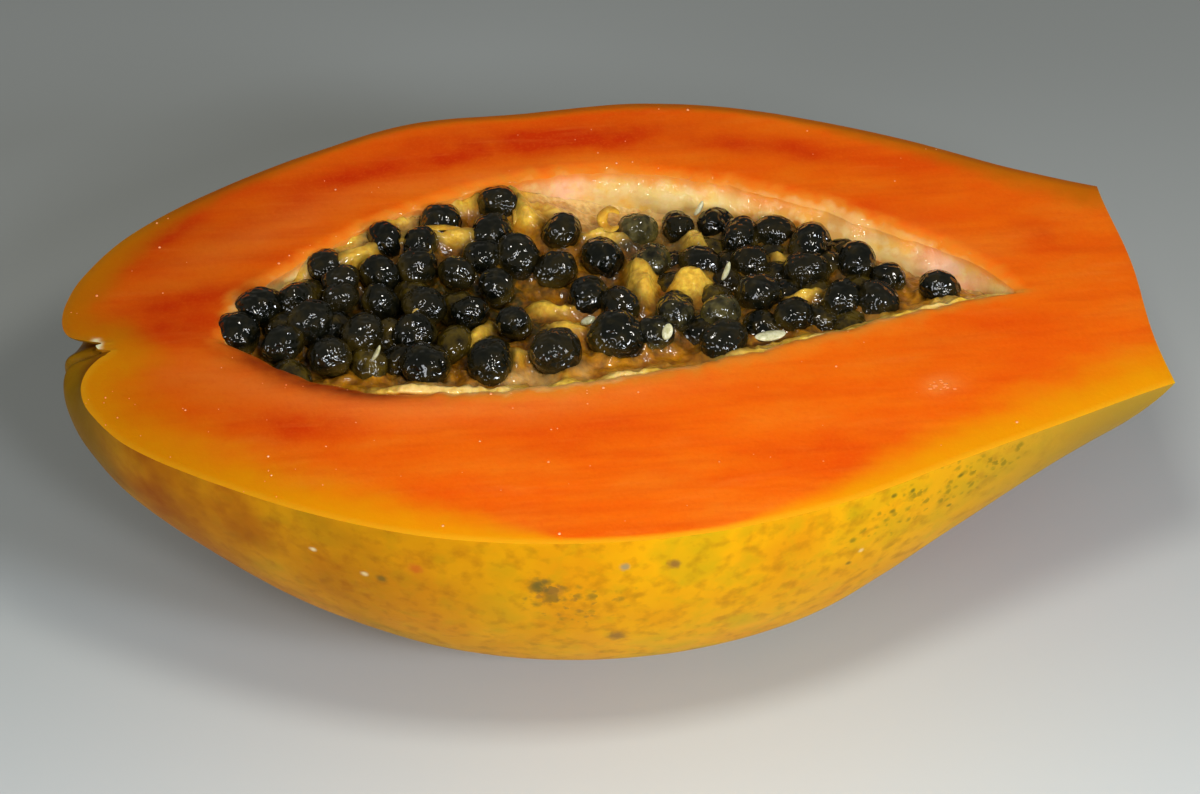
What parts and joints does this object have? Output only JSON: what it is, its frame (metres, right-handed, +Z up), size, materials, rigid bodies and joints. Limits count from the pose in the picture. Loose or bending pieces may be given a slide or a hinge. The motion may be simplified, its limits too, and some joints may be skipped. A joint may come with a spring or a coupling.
{
  "type": "papaya half",
  "caption": "Half a ripe papaya cut lengthwise, neck sliced off, with its cavity full of dark wet seeds on pulp, lying cut face up.",
  "frame": {"origin": "centre of the bottom of the bounding box, on the small flat spot under the rounded back", "axes": "+X from the puckered blossom end to the sliced neck, +Y to the side with the thinner flesh, +Z up out of the cut face"},
  "size_m": [0.1562, 0.0975, 0.052],
  "materials": {
    "flesh": "moist orange fruit flesh with a smooth yellow rind",
    "seeds": "black wrinkled seeds in clear wet jelly, on yellow pulp"
  },
  "bodies": {
    "root": {"papaya_half": "flesh", "seed_heap": "seeds"}
  },
  "joints": []
}
